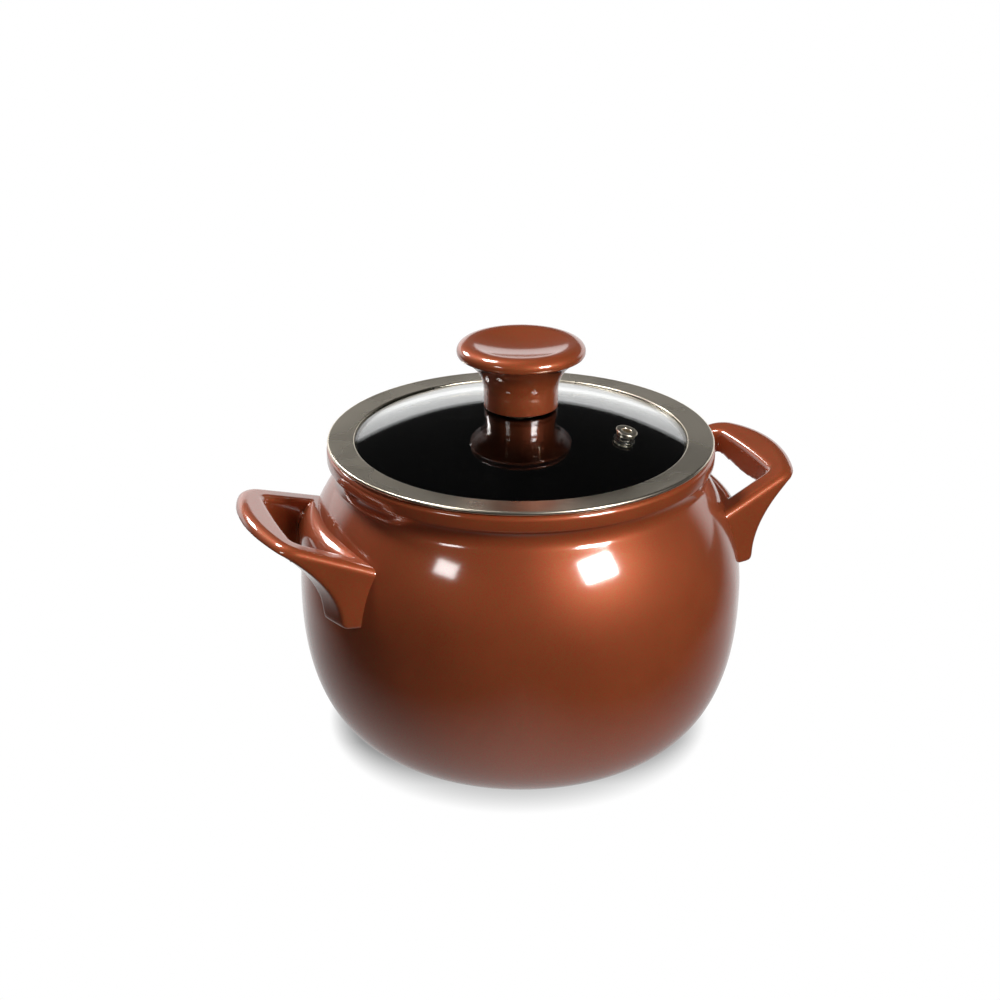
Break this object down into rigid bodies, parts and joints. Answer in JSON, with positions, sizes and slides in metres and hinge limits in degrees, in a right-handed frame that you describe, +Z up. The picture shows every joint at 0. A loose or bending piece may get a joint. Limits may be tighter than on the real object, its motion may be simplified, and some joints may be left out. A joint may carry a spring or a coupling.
{
  "type": "ceramic pot with glass lid",
  "caption": "Ball-shaped glazed ceramic cooking pot with moulded loop handles and a steel-banded glass lid that lifts off by its ceramic knob.",
  "frame": {"origin": "centre of the flat base, on the surface that the pot stands on", "axes": "+Z up along the pot's axis, +X through the right handle, -Y towards the front"},
  "size_m": [0.2774, 0.2168, 0.1994],
  "materials": {
    "copper_glaze": "glossy copper-brown glaze with fine metallic flecks",
    "lid_glass": "clear polished tempered glass",
    "lid_steel": "satin stainless steel",
    "gasket_rubber": "matt dark silicone",
    "insert_brass": "turned brass"
  },
  "bodies": {
    "pot": {"pot_body": "copper_glaze", "handle_right": "copper_glaze", "handle_left": "copper_glaze"},
    "lid": {"lid_glass": "lid_glass", "lid_rim_band": "lid_steel", "lid_knob": "copper_glaze", "knob_insert": "insert_brass", "knob_screw": "lid_steel", "screw_washer": "lid_steel", "knob_gasket_upper": "gasket_rubber", "knob_gasket_lower": "gasket_rubber", "vent_grommet": "lid_steel", "vent_washer": "gasket_rubber"}
  },
  "joints": [
    {"name": "lid_lift", "type": "slide", "parent": "pot", "child": "lid", "axis": [0, 0, 1], "range_m": [0, 0.12]}
  ]
}
